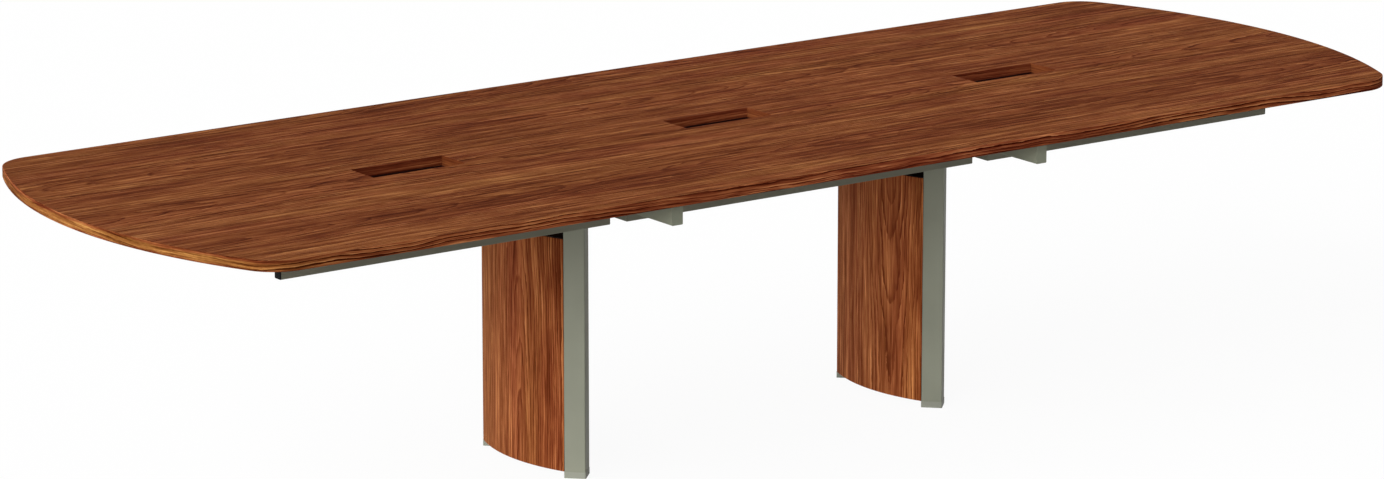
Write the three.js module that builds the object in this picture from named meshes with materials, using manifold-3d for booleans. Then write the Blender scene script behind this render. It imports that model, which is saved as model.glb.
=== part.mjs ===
// Conference table: a one-piece bow-ended wood top with three cable cut-outs, a steel
// underframe in three sections, and two pedestals of diamond-set square posts between
// curved wood panels. Millimetres, +Z up, X along the table, origin on the floor at its centre.

import * as THREE from 'three';
import { mergeVertices } from 'three/addons/utils/BufferGeometryUtils.js';
import Module from 'manifold-3d';

const wasm = await Module();
wasm.setup();

// Table top
const topLength = 3500;
const topWidth = 1200;
const topHeight = 755;
const topThickness = 25;
const endBow = 150;
const cornerRadius = 100;
const bandThickness = 2;
const bandRounding = 1.5;
const bandRoundingSteps = 2;
const bowSteps = 40;
const cornerSteps = 10;

// Cable cut-outs through the top
const cutoutLength = 250;
const cutoutWidth = 100;
const cutoutPitchShare = 0.25;
const cutoutBandThickness = 1;

// Steel tubes: corner radii as multiples of the wall
const tubeOuterCornerShare = 1;
const tubeInnerCornerShare = 0.5;
const tubeCornerSteps = 2;

// Steel underframe, three sections end to end
const beamWidth = 25;
const beamHeight = 91;
const beamWall = 2;
const frameSetback = 321;
const frameWidth = 684;
const weldGap = 0.4;
const crossTubeHeight = 50;
const crossTubeInset = 75;

// Screw tabs welded to the beams, flush under the top
const tabLength = 40;
const tabReach = 26;
const tabThickness = 3;
const tabHoleRadius = 3;
const tabsPerBeam = 3;

// Cross-arms that carry the long edges of the top
const armSetback = 27;
const armClearance = 8;
const armWidth = 30;
const armHeight = 50;
const armWall = 2;
const armPlateThickness = 2;

// Pedestals
const pedestalPitch = 1054;
const postPitch = 340;
const postSide = 50;
const postWall = 2;
const headMargin = 8;
const headOverhang = 50;
const headThickness = 6;
const headCornerRadius = 12;
const headCornerSteps = 5;
const riserSetback = 20;
const riserWall = 3;

// Bolts that hold the frame sections on the pedestal heads
const boltRadius = 4;
const boltLength = 16;
const boltHeadAcross = 13;
const boltHeadHeight = 5.3;
const boltPitchShare = 0.5;
const boltClearance = 0.4;
const boltSides = 12;

// Feet
const capMargin = 0.75;
const capHeight = 15;
const capPlugHeight = 22;
const capPlugWall = 4;
const plugClearance = 0.3;
const glideRadius = 16;
const glideThickness = 6;
const glideRounding = 2;
const glideLift = 1;
const glideTravel = 12;
const glideStemRadius = 4;
const glideClearance = 0.3;
const glideSides = 20;
const glideRimSteps = 2;
const recessMargin = 1;
const capShoulder = 6;

// Curved side panels
const panelThickness = 10;
const panelReach = 69.5;
const panelHeadGap = 61;
const panelClearance = 0.3;
const panelSteps = 32;

// Stretchers between the posts, and the spreaders that hold the panels off them
const stretcherWidth = 20;
const stretcherHeight = 40;
const stretcherWall = 2;
const stretcherInset = 36;
const spreaderHeight = 36;
const spreaderPlate = 4;
const spreaderFlange = 3;
const spreaderFlangeLength = 70;
const spreaderSteps = 5;

// One overrun for all cuts
const overrun = 5;

// Places worked out from the sizes above
const topUnderside = topHeight - topThickness;
const cutoutPitch = topLength * cutoutPitchShare;
const beamBottom = topUnderside - beamHeight;
const headUnderside = beamBottom - headThickness;
const armBottom = topUnderside - armHeight;
const armLength = topWidth - 2 * armSetback;
const jointGap = armWidth + 2 * armClearance;
const pedestalX = pedestalPitch / 2;
const postY = postPitch / 2;
const halfFrameWidth = frameWidth / 2;
const halfFrameLength = topLength / 2 - frameSetback;
const outerJointX = pedestalX + jointGap / 2;
const innerJointX = pedestalX - jointGap / 2;
const tabInset = crossTubeInset + beamWidth + tabLength;
const boltX = (jointGap + beamWidth) / 2;
const boltPitch = postPitch * boltPitchShare;
const headWidth = jointGap + 2 * beamWidth + 2 * headMargin;
const headLength = postPitch + 2 * headOverhang;
const riserLength = headLength - 2 * riserSetback;
const capSide = postSide + 2 * capMargin;
const postHalfDiagonal = postSide / Math.SQRT2;
const panelBottom = capHeight + panelClearance;
const panelTop = headUnderside - panelHeadGap;

const walnut = { color: 0x7a4325, roughness: 0.45, metalness: 0 };
const walnutEdge = { color: 0x8a4c26, roughness: 0.5, metalness: 0 };
const postGrey = { color: 0x83887a, roughness: 0.42, metalness: 0.35 };
const frameGrey = { color: 0x5f6258, roughness: 0.5, metalness: 0.3 };
const zinc = { color: 0xa6a8a6, roughness: 0.35, metalness: 0.9 };
const glideBlack = { color: 0x1b1b1b, roughness: 0.6, metalness: 0 };

const table = new THREE.Group();
table.name = 'conference_table';

// A named mesh with a finish of its own, put at x, y, z in its group.
function addPiece(group, name, geometry, finish, x = 0, y = 0, z = 0) {
  const mesh = new THREE.Mesh(geometry, new THREE.MeshStandardMaterial(finish));
  mesh.name = name;
  mesh.position.set(x, y, z);
  group.add(mesh);
  return mesh;
}

// A closed geometry as a solid that can be cut and joined.
function toSolid(geometry) {
  const bare = geometry.clone();
  bare.deleteAttribute('normal');
  bare.deleteAttribute('uv');
  const merged = mergeVertices(bare);
  return new wasm.Manifold(new wasm.Mesh({
    numProp: 3,
    vertProperties: new Float32Array(merged.attributes.position.array),
    triVerts: new Uint32Array(merged.index.array),
  }));
}

function toGeometry(solid) {
  const mesh = solid.getMesh();
  const geometry = new THREE.BufferGeometry();
  geometry.setAttribute('position', new THREE.BufferAttribute(mesh.vertProperties, 3));
  geometry.setIndex(new THREE.BufferAttribute(mesh.triVerts, 1));
  geometry.computeVertexNormals();
  return geometry;
}

function cut(body, ...tools) {
  let solid = toSolid(body);
  for (const tool of tools) {
    solid = solid.subtract(toSolid(tool));
  }
  return toGeometry(solid);
}

function join(...bodies) {
  let solid = toSolid(bodies[0]);
  for (const body of bodies.slice(1)) {
    solid = solid.add(toSolid(body));
  }
  return toGeometry(solid);
}

// A box given by its lowest and highest corner.
function box(x0, y0, z0, x1, y1, z1) {
  const geometry = new THREE.BoxGeometry(x1 - x0, y1 - y0, z1 - z0);
  return geometry.translate((x0 + x1) / 2, (y0 + y1) / 2, (z0 + z1) / 2);
}

// A plan outline raised from z0 to z1.
function prism(shape, z0, z1) {
  const geometry = new THREE.ExtrudeGeometry(shape, { depth: z1 - z0, bevelEnabled: false });
  return geometry.translate(0, 0, z0);
}

// A round bar or hole standing at x, y from z0 to z1.
function upright(radius, z0, z1, sides, x = 0, y = 0) {
  const geometry = new THREE.CylinderGeometry(radius, radius, z1 - z0, sides);
  geometry.rotateX(Math.PI / 2);
  return geometry.translate(x, y, (z0 + z1) / 2);
}

function polygon(points) {
  return new THREE.Shape(points.map(([x, y]) => new THREE.Vector2(x, y)));
}

function rectangle(halfX, halfY) {
  return [[-halfX, -halfY], [halfX, -halfY], [halfX, halfY], [-halfX, halfY]];
}

function roundedRectangle(halfX, halfY, radius, steps) {
  const quarter = Math.PI / 2;
  const corners = [[1, 1], [-1, 1], [-1, -1], [1, -1]];
  return polygon(corners.flatMap(([dx, dy], i) => arcPoints(
    dx * (halfX - radius), dy * (halfY - radius), radius, i * quarter, (i + 1) * quarter, steps,
  )));
}

// The section of a solid bar with the rounded corners of a tube of that wall.
function barSection(sizeX, sizeY, wall) {
  return roundedRectangle(sizeX / 2, sizeY / 2, wall * tubeOuterCornerShare, tubeCornerSteps);
}

function tubeSection(sizeX, sizeY, wall) {
  const section = barSection(sizeX, sizeY, wall);
  section.holes.push(roundedRectangle(
    sizeX / 2 - wall, sizeY / 2 - wall, wall * tubeInnerCornerShare, tubeCornerSteps,
  ));
  return section;
}

// Tubes along the table and across it, their width level and their height upright.
function tubeAlong(width, height, wall, x0, x1, y, z) {
  const geometry = prism(tubeSection(height, width, wall), x0, x1);
  return geometry.rotateY(Math.PI / 2).translate(0, y, z + height / 2);
}

function tubeAcross(width, height, wall, y0, y1, x, z) {
  const geometry = prism(tubeSection(width, height, wall), y0, y1);
  return geometry.rotateX(-Math.PI / 2).translate(x, 0, z + height / 2);
}

// An upright of square section, turned to stand corner forwards.
function diamond(section, z0, z1) {
  return prism(section, z0, z1).rotateZ(Math.PI / 4);
}

function arcPoints(centreX, centreY, radius, from, to, steps) {
  const curve = new THREE.EllipseCurve(centreX, centreY, radius, radius, from, to, to < from);
  return curve.getPoints(steps).map((point) => [point.x, point.y]);
}

// The outline of the top, moved inwards by inset. Both ends are one long bow between
// rounded corners, and every arc keeps its centre when the outline moves.
function topOutline(inset) {
  const bowRadius = (topWidth * topWidth / 4 + endBow * endBow) / (2 * endBow);
  const bowCentre = topLength / 2 - bowRadius;
  const cornerY = topWidth / 2 - cornerRadius;
  const cornerX = bowCentre + Math.sqrt((bowRadius - cornerRadius) ** 2 - cornerY ** 2);
  const turn = Math.atan2(cornerY, cornerX - bowCentre);
  const quarter = Math.PI / 2;
  const corner = cornerRadius - inset;
  const rightEnd = [
    ...arcPoints(cornerX, -cornerY, corner, -quarter, -turn, cornerSteps),
    ...arcPoints(bowCentre, 0, bowRadius - inset, -turn, turn, bowSteps).slice(1, -1),
    ...arcPoints(cornerX, cornerY, corner, turn, quarter, cornerSteps),
  ];
  const leftEnd = rightEnd.map(([x, y]) => [-x, -y]);
  return [...rightEnd, ...leftEnd];
}

function cutoutPlaces() {
  return [['left', -cutoutPitch], ['middle', 0], ['right', cutoutPitch]];
}

// The edge band: a section with rounded outer corners, swept round the top's outline.
// Each point of the section is an inset from the outline and a height.
function edgeBand() {
  const round = arcPoints(
    bandRounding, bandRounding, bandRounding, -Math.PI / 2, -Math.PI, bandRoundingSteps,
  );
  const lower = round.map(([inset, z]) => [inset, topUnderside + z]);
  const upper = round.map(([inset, z]) => [inset, topHeight - z]).reverse();
  const section = [[bandThickness, topUnderside], ...lower, ...upper, [bandThickness, topHeight]];
  const rings = section.map(([inset, z]) => topOutline(inset).map(([x, y]) => [x, y, z]));
  const count = rings[0].length;
  const indices = [];
  rings.forEach((ring, i) => {
    const next = (i + 1) % rings.length;
    ring.forEach((point, j) => {
      const a = i * count + j;
      const b = i * count + (j + 1) % count;
      const c = next * count + (j + 1) % count;
      const d = next * count + j;
      indices.push(a, b, c, a, c, d);
    });
  });
  const geometry = new THREE.BufferGeometry();
  geometry.setAttribute('position', new THREE.Float32BufferAttribute(rings.flat(2), 3));
  geometry.setIndex(indices);
  geometry.computeVertexNormals();
  return geometry;
}

function makeTop() {
  const halfX = cutoutLength / 2;
  const halfY = cutoutWidth / 2;
  const board = prism(polygon(topOutline(bandThickness)), topUnderside, topHeight);
  const cutouts = cutoutPlaces().map(([, x]) => box(
    x - halfX, -halfY, topUnderside - overrun, x + halfX, halfY, topHeight + overrun,
  ));
  addPiece(table, 'table_top', cut(board, ...cutouts), walnut);

  addPiece(table, 'edge_band', edgeBand(), walnutEdge);

  const liner = polygon(rectangle(halfX, halfY));
  liner.holes.push(polygon(rectangle(halfX - cutoutBandThickness, halfY - cutoutBandThickness)));
  for (const [place, x] of cutoutPlaces()) {
    addPiece(table, `cutout_band_${place}`, prism(liner, topUnderside, topHeight), walnutEdge, x);
  }
}

// The slice that a mitre takes off: the far side of the 45 degree line that runs from the
// outer corner at x, y in the direction alongX, alongY.
function mitreWedge(x, y, alongX, alongY, offX, offY) {
  const reach = beamWidth + overrun;
  const start = [x - alongX * overrun, y - alongY * overrun];
  const end = [x + alongX * reach, y + alongY * reach];
  const off = [offX ? end[0] : start[0], offY ? end[1] : start[1]];
  return prism(polygon([start, end, off]), beamBottom - overrun, topUnderside + overrun);
}

// A beam from x0 to x1 with its screw tabs welded on. sign is -1 at the front, +1 at the rear.
function beam(x0, x1, sign) {
  const y = sign * (halfFrameWidth - beamWidth / 2);
  const tube = tubeAlong(beamWidth, beamHeight, beamWall, x0, x1, y, beamBottom);
  const face = halfFrameWidth - beamWidth;
  const tip = sign * (face - tabReach);
  const root = sign * (face + beamWall);
  const under = topUnderside - tabThickness;
  const tabs = [];
  const holes = [];
  for (let i = 0; i < tabsPerBeam; i += 1) {
    const x = x0 + tabInset + (x1 - x0 - 2 * tabInset) * i / (tabsPerBeam - 1);
    tabs.push(box(
      x - tabLength / 2, Math.min(tip, root), under,
      x + tabLength / 2, Math.max(tip, root), topUnderside,
    ));
    holes.push(upright(
      tabHoleRadius, under - overrun, topUnderside + overrun, boltSides,
      x, sign * (face - tabReach / 2),
    ));
  }
  return cut(join(tube, ...tabs), ...holes);
}

// Front and rear beams of the three sections. Outer ends are open, joint ends are mitred.
function makeBeams() {
  for (const [place, sign] of [['front', -1], ['rear', 1]]) {
    const y = sign * halfFrameWidth;
    const middleEnd = innerJointX - weldGap;
    const middleBeam = cut(
      beam(-middleEnd, middleEnd, sign),
      mitreWedge(-middleEnd, y, 1, -sign, false, true),
      mitreWedge(middleEnd, y, -1, -sign, false, true),
    );
    addPiece(table, `beam_middle_${place}`, middleBeam, frameGrey);
    for (const [side, way] of [['left', -1], ['right', 1]]) {
      const jointEnd = way * (outerJointX + weldGap);
      const freeEnd = way * halfFrameLength;
      const sideBeam = cut(
        beam(Math.min(jointEnd, freeEnd), Math.max(jointEnd, freeEnd), sign),
        mitreWedge(jointEnd, y, way, -sign, false, true),
      );
      addPiece(table, `beam_${side}_${place}`, sideBeam, frameGrey);
    }
  }
}

// A mitred bar across the end of a frame section, bolted to the pedestal head at pedestal.
// Its outer face stands at faceX and its body lies on the side way, -1 or +1.
function jointBar(faceX, way, pedestal) {
  const centre = faceX + way * beamWidth / 2;
  const tube = tubeAcross(
    beamWidth, beamHeight, beamWall, -halfFrameWidth, halfFrameWidth, centre, beamBottom,
  );
  const holes = [-1, 1].map((sign) => upright(
    boltRadius + boltClearance, beamBottom - overrun, beamBottom + beamWall + overrun, boltSides,
    pedestal + Math.sign(faceX - pedestal) * boltX, sign * boltPitch / 2,
  ));
  return cut(
    tube, ...holes,
    mitreWedge(faceX, -halfFrameWidth, way, 1, true, false),
    mitreWedge(faceX, halfFrameWidth, way, -1, true, false),
  );
}

function makeJointBars() {
  for (const [side, way] of [['left', -1], ['right', 1]]) {
    const pedestal = way * pedestalX;
    const outerBar = jointBar(way * outerJointX, way, pedestal);
    addPiece(table, `joint_bar_${side}_outer`, outerBar, frameGrey);
    const innerBar = jointBar(way * innerJointX, -way, pedestal);
    addPiece(table, `joint_bar_${side}_inner`, innerBar, frameGrey);
  }
}

// A square-cut tube that ties the front and rear beams near each free end.
function makeCrossTubes() {
  const reach = halfFrameWidth - beamWidth;
  const low = topUnderside - crossTubeHeight;
  for (const [side, way] of [['left', -1], ['right', 1]]) {
    const x = way * (halfFrameLength - crossTubeInset);
    const tube = tubeAcross(beamWidth, crossTubeHeight, beamWall, -reach, reach, x, low);
    addPiece(table, `cross_tube_${side}`, tube, frameGrey);
  }
}

// Tube across the table over a pedestal, with a plate welded on each end.
function makeArms() {
  const reach = armLength / 2 - armPlateThickness;
  const plate = prism(barSection(armWidth, armHeight, armWall), 0, armPlateThickness);
  plate.rotateX(-Math.PI / 2).translate(0, 0, armBottom + armHeight / 2);
  for (const [side, way] of [['left', -1], ['right', 1]]) {
    const x = way * pedestalX;
    const arm = tubeAcross(armWidth, armHeight, armWall, -reach, reach, x, armBottom);
    addPiece(table, `cross_arm_${side}`, arm, frameGrey);
    addPiece(table, `arm_plate_${side}_front`, plate, frameGrey, x, -armLength / 2);
    addPiece(table, `arm_plate_${side}_rear`, plate, frameGrey, x, reach);
  }
}

// Tube that lifts the cross-arm off the pedestal head, in the gap between two sections.
function riser() {
  const reach = riserLength / 2;
  return tubeAcross(armWidth, armBottom - beamBottom, riserWall, -reach, reach, 0, beamBottom);
}

// Flat plate on the two posts, drilled for the section bolts.
function headPlate() {
  const outline = roundedRectangle(
    headWidth / 2, headLength / 2, headCornerRadius, headCornerSteps,
  );
  const holes = boltPlaces().map(([, x, y]) => upright(
    boltRadius + boltClearance, headUnderside - overrun, beamBottom + overrun, boltSides, x, y,
  ));
  return cut(prism(outline, headUnderside, beamBottom), ...holes);
}

function boltPlaces() {
  return [
    ['outer_front', -boltX, -boltPitch / 2], ['outer_rear', -boltX, boltPitch / 2],
    ['inner_front', boltX, -boltPitch / 2], ['inner_rear', boltX, boltPitch / 2],
  ];
}

// Hexagon-headed bolt, entered from below.
function bolt() {
  const across = boltHeadAcross / 2 / Math.cos(Math.PI / 6);
  const head = upright(across, headUnderside - boltHeadHeight, headUnderside, 6);
  const shankBottom = headUnderside - boltHeadHeight / 2;
  const shank = upright(boltRadius, shankBottom, headUnderside + boltLength, boltSides);
  return join(head, shank);
}

function post() {
  return diamond(tubeSection(postSide, postSide, postWall), capHeight, headUnderside);
}

// Foot cap: a square block under the post with a hollow plug inside it, a bore for the
// glide's stem and a recess for its pad.
function footCap() {
  const plugSide = postSide - 2 * postWall - 2 * plugClearance;
  const hollowSide = plugSide - 2 * capPlugWall;
  const plugTop = capHeight + capPlugHeight;
  const block = diamond(barSection(capSide, capSide, postWall), 0, capHeight);
  const plug = diamond(barSection(plugSide, plugSide, postWall), capHeight / 2, plugTop);
  const hollow = diamond(
    barSection(hollowSide, hollowSide, postWall), capHeight + capShoulder, plugTop + overrun,
  );
  const recessTop = glideLift + glideThickness + recessMargin;
  const recess = upright(glideRadius + recessMargin, -overrun, recessTop, glideSides);
  const bore = upright(glideStemRadius + glideClearance, -overrun, plugTop, boltSides);
  return cut(join(block, plug), hollow, recess, bore);
}

// Levelling glide: a round pad on a stem, screwed up into the foot cap. Wound right down,
// the stem's top is still level with the top of the cap's shoulder.
function glide() {
  const edge = glideThickness - glideRounding;
  const stemTop = capHeight + capShoulder + glideTravel - glideLift;
  const rim = arcPoints(
    glideRadius - glideRounding, glideRounding, glideRounding, -Math.PI / 2, 0, glideRimSteps,
  );
  const profile = [
    [0, 0], ...rim, [glideRadius, edge], [glideRadius - glideRounding, glideThickness],
    [glideStemRadius, glideThickness], [glideStemRadius, stemTop], [0, stemTop],
  ];
  const lathe = new THREE.LatheGeometry(
    profile.map(([r, z]) => new THREE.Vector2(r, z)), glideSides,
  );
  return lathe.rotateX(Math.PI / 2);
}

// A curved panel's face is an arc through the post corners, its middle at panelReach.
function panelArc() {
  const rise = panelReach - postHalfDiagonal;
  const radius = (postY * postY + rise * rise) / (2 * rise);
  return { radius, centre: panelReach - radius };
}

// Angle at which an arc of the panel meets the slanted face of the post, less the clearance.
function panelEndAngle(radius, centre) {
  const offset = postHalfDiagonal - postY + panelClearance * Math.SQRT2 - centre;
  const y = (offset - Math.sqrt(2 * radius * radius - offset * offset)) / 2;
  return Math.asin(-y / radius);
}

// A panel of bent board, seen from above as a slice of ring that ends on the posts.
function panel() {
  const { radius, centre } = panelArc();
  const innerRadius = radius - panelThickness;
  const outerEnd = panelEndAngle(radius, centre);
  const innerEnd = panelEndAngle(innerRadius, centre);
  const outline = [
    ...arcPoints(centre, 0, radius, -outerEnd, outerEnd, panelSteps),
    ...arcPoints(centre, 0, innerRadius, innerEnd, -innerEnd, panelSteps),
  ];
  return prism(polygon(outline), panelBottom, panelTop);
}

// Tube from post to post, its ends notched round the posts' inner corners.
function stretcher(low) {
  const tube = tubeAcross(
    stretcherWidth, stretcherHeight, stretcherWall, -postY, postY, 0, low,
  );
  const side = postSide + 2 * panelClearance;
  const notches = [-1, 1].map((sign) => diamond(
    barSection(side, side, postWall), low - overrun, low + stretcherHeight + overrun,
  ).translate(0, sign * postY, 0));
  return cut(tube, ...notches);
}

// Spreader: a plate from panel to panel with a flange against each, seen from above as an I
// whose flanges follow the panels.
function spreader(low) {
  const { radius, centre } = panelArc();
  const outer = radius - panelThickness - panelClearance;
  const inner = outer - spreaderFlange;
  const outerEnd = Math.asin(spreaderFlangeLength / 2 / outer);
  const innerEnd = Math.asin(spreaderFlangeLength / 2 / inner);
  const webAngle = Math.asin(spreaderPlate / 2 / inner);
  const rightHalf = [
    ...arcPoints(centre, 0, inner, -webAngle, -innerEnd, spreaderSteps),
    ...arcPoints(centre, 0, outer, -outerEnd, outerEnd, 2 * spreaderSteps),
    ...arcPoints(centre, 0, inner, innerEnd, webAngle, spreaderSteps),
  ];
  const leftHalf = rightHalf.map(([x, y]) => [-x, -y]);
  return prism(polygon([...rightHalf, ...leftHalf]), low, low + spreaderHeight);
}

function makePedestal(side, way) {
  const pedestal = new THREE.Group();
  pedestal.position.x = way * pedestalX;
  table.add(pedestal);

  addPiece(pedestal, `head_plate_${side}`, headPlate(), frameGrey);
  addPiece(pedestal, `riser_${side}`, riser(), frameGrey);
  for (const [place, x, y] of boltPlaces()) {
    addPiece(pedestal, `bolt_${side}_${place}`, bolt(), zinc, way * -x, y);
  }
  for (const [place, sign] of [['front', -1], ['rear', 1]]) {
    const y = sign * postY;
    addPiece(pedestal, `post_${side}_${place}`, post(), postGrey, 0, y);
    addPiece(pedestal, `foot_cap_${side}_${place}`, footCap(), postGrey, 0, y);
    addPiece(pedestal, `glide_${side}_${place}`, glide(), glideBlack, 0, y, glideLift);
  }
  for (const [place, turn] of [['left', Math.PI], ['right', 0]]) {
    const piece = addPiece(pedestal, `panel_${side}_${place}`, panel(), walnut);
    piece.rotation.z = turn;
  }
  const lowStretcher = panelBottom + stretcherInset;
  const highStretcher = panelTop - stretcherInset - stretcherHeight;
  addPiece(pedestal, `stretcher_${side}_lower`, stretcher(lowStretcher), frameGrey);
  addPiece(pedestal, `stretcher_${side}_upper`, stretcher(highStretcher), frameGrey);
  const lowSpreader = lowStretcher + stretcherHeight;
  const highSpreader = highStretcher - spreaderHeight;
  addPiece(pedestal, `spreader_${side}_lower`, spreader(lowSpreader), frameGrey);
  addPiece(pedestal, `spreader_${side}_upper`, spreader(highSpreader), frameGrey);
}

makeTop();
makeBeams();
makeJointBars();
makeCrossTubes();
makeArms();
makePedestal('left', -1);
makePedestal('right', 1);

export default table;
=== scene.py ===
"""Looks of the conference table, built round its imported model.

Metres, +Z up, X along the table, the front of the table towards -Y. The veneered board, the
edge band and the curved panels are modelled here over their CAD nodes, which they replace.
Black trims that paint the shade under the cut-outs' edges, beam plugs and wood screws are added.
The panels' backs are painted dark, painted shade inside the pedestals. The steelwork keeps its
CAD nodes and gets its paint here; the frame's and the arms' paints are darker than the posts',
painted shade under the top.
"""

import math

import bmesh
import bpy
from mathutils import Matrix, Vector


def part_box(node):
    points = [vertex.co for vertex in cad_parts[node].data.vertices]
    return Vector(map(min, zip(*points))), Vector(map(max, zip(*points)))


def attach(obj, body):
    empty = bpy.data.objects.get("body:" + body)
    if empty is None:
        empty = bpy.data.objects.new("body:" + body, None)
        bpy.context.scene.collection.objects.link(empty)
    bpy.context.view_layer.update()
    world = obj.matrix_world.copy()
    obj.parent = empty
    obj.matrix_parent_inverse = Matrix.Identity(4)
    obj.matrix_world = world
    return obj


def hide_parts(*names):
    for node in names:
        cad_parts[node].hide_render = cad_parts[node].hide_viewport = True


bl_info = {
    "name": "Conference Table",
    "version": (1, 0, 0),
    "blender": (4, 5, 0),
    "location": "3D View > Sidebar > Table",
    "description": "Veneer, edge band, paint and fittings of a bow-ended conference table",
    "category": "Object",
}

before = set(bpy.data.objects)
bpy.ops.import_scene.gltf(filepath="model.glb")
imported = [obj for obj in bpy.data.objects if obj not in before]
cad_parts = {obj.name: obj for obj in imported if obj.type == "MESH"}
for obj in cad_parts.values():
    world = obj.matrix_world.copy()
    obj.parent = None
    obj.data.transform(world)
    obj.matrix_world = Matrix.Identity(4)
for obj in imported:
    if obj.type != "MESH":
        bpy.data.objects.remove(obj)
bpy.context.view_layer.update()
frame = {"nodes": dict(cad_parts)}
NODES = frame["nodes"]

# The table's sections along X, and which way from the middle each side and place lies
SECTIONS = ("left", "middle", "right")
SIDE_WAYS = {"left": -1, "right": 1}
PLACE_WAYS = {"front": -1, "rear": 1}

TOP_LOW, TOP_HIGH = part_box("edge_band")
BOARD_LOW, BOARD_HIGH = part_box("table_top")
BAND_THICKNESS = TOP_HIGH.y - BOARD_HIGH.y
TABS_PER_BEAM = 3

# Points nearer together than this are merged, in metres
MERGE_DISTANCE = 1e-5
# How far off a plane a point may lie and still count as in it, in metres
PLANE_TOLERANCE = 1e-4
# Edges sharper than this are edges of the form, the others are facets of a curve
FACET_ANGLE = math.radians(35)
# A face looks along an axis when more than this share of its normal does
FACING = 0.9


def linear(red, green, blue):
    """A colour given as on screen, 0 to 255, as Blender's linear values."""
    def channel(value):
        share = value / 255
        return share / 12.92 if share <= 0.04045 else ((share + 0.055) / 1.055) ** 2.4
    return channel(red), channel(green), channel(blue)


def colour_property(name, description, red, green, blue):
    return bpy.props.FloatVectorProperty(
        name=name, description=description, subtype="COLOR", size=3, min=0, max=1,
        default=linear(red, green, blue),
    )


def number_property(name, description, default, **settings):
    return bpy.props.FloatProperty(
        name=name, description=description, default=default, **settings,
    )


def length_property(name, description, default):
    return number_property(
        name, description, default, min=0, subtype="DISTANCE", unit="LENGTH",
    )


def share_property(name, description, default):
    return number_property(name, description, default, min=0, max=1, subtype="FACTOR")


def angle_property(name, description, degrees):
    return number_property(
        name, description, math.radians(degrees), subtype="ANGLE", unit="ROTATION",
    )


def direction_property(name, description, tilt, turn):
    """A lamp's tilt up from straight down and its turn about the vertical, in degrees."""
    return bpy.props.FloatVectorProperty(
        name=name, description=description, subtype="EULER", unit="ROTATION", size=3,
        default=(math.radians(tilt), 0, math.radians(turn)),
    )


class TableSizes(bpy.types.PropertyGroup):
    """Sizes of the pieces that are modelled here."""

    end_bow: length_property("End bow", "How far each end bows out past its corners", 0.15)
    corner_radius: length_property("Corner radius", "Radius of the rounded corners", 0.1)
    band_rounding: length_property("Band rounding", "Radius of the edge band's long edges", 0.0015)
    panel_thickness: length_property("Panel thickness", "Thickness of the curved panels", 0.01)
    arris: length_property("Arris", "Width of the broken edges of the wood", 0.0006)
    post_side: length_property("Post side", "Side of the square posts", 0.05)
    panel_clearance: length_property("Panel clearance", "Gap between a panel and a post", 0.0003)
    tab_inset: length_property("Tab inset", "From a beam's end to its first screw tab", 0.14)
    tab_reach: length_property("Tab reach", "How far a screw tab stands off its beam", 0.026)
    tab_thickness: length_property("Tab thickness", "Thickness of the screw tabs", 0.003)
    trim_width: length_property("Trim width", "Width of the trims under the cut-outs", 0.004)
    trim_height: length_property("Trim height", "Height of the trims under the cut-outs", 0.004)
    beam_width: length_property("Beam width", "Width of the beams' tube", 0.025)
    beam_wall: length_property("Beam wall", "Wall of the beams' tube", 0.002)
    plug_flange: length_property("Plug flange", "Thickness of the plugs' flanges", 0.002)
    plug_depth: length_property("Plug depth", "How far the plugs reach into the beams", 0.015)
    trim_lip: length_property("Trim lip", "Thickness of the trims' lips in the cut-outs", 0.0008)
    trim_rise: length_property("Trim rise", "How far the lips reach up into the cut-outs", 0.0025)
    screw_head: length_property("Screw head", "Radius of the wood screws' heads", 0.0045)


class TableWood(bpy.types.PropertyGroup):
    """Colours and grain of the veneer."""

    deep: colour_property("Deep grain", "Darkest lines of the grain", 58, 20, 5)
    dark: colour_property("Dark wood", "Darker bands of the veneer", 93, 43, 20)
    middle: colour_property("Middle wood", "Main colour of the veneer", 120, 64, 34)
    light: colour_property("Light wood", "Lighter bands of the veneer", 147, 88, 49)
    pale: colour_property("Pale wood", "Lightest streaks of the veneer", 182, 121, 72)
    # The panels' backs and edges are painted shade; this is the lighter grain in it
    backing: colour_property("Backing", "Lighter grain of the panels' sealed backs", 38, 26, 19)
    leaf_width: length_property("Leaf width", "Width of one leaf of veneer on the top", 0.32)
    roughness: share_property("Roughness", "How matt the lacquer is", 0.5)


class TableMetal(bpy.types.PropertyGroup):
    """Colours of the steelwork, the fittings and the soft trims."""

    post: colour_property("Post paint", "Satin paint of the posts", 143, 145, 129)
    cap: colour_property("Cap paint", "Paint of the foot caps", 152, 154, 141)
    # The arms' paint is a little darker than the posts', the frame's darker still: painted shade
    # under the top
    arm: colour_property("Arm paint", "Paint of the cross-arms", 138, 141, 123)
    frame: colour_property("Frame paint", "Paint of the beams and what ties them", 125, 124, 108)
    zinc: colour_property("Zinc", "Plating of the bolts and screws", 170, 172, 170)
    plastic: colour_property("Plastic", "Plastic of the glides and the beam plugs", 28, 28, 28)
    # Dark of the cut-outs' trims and of the panels' backs, both painted shade
    trim: colour_property("Trim", "Trims of the cut-outs, and the panels' backs", 30, 10, 9)
    roughness: share_property("Roughness", "How matt the paint is", 0.5)


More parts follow.
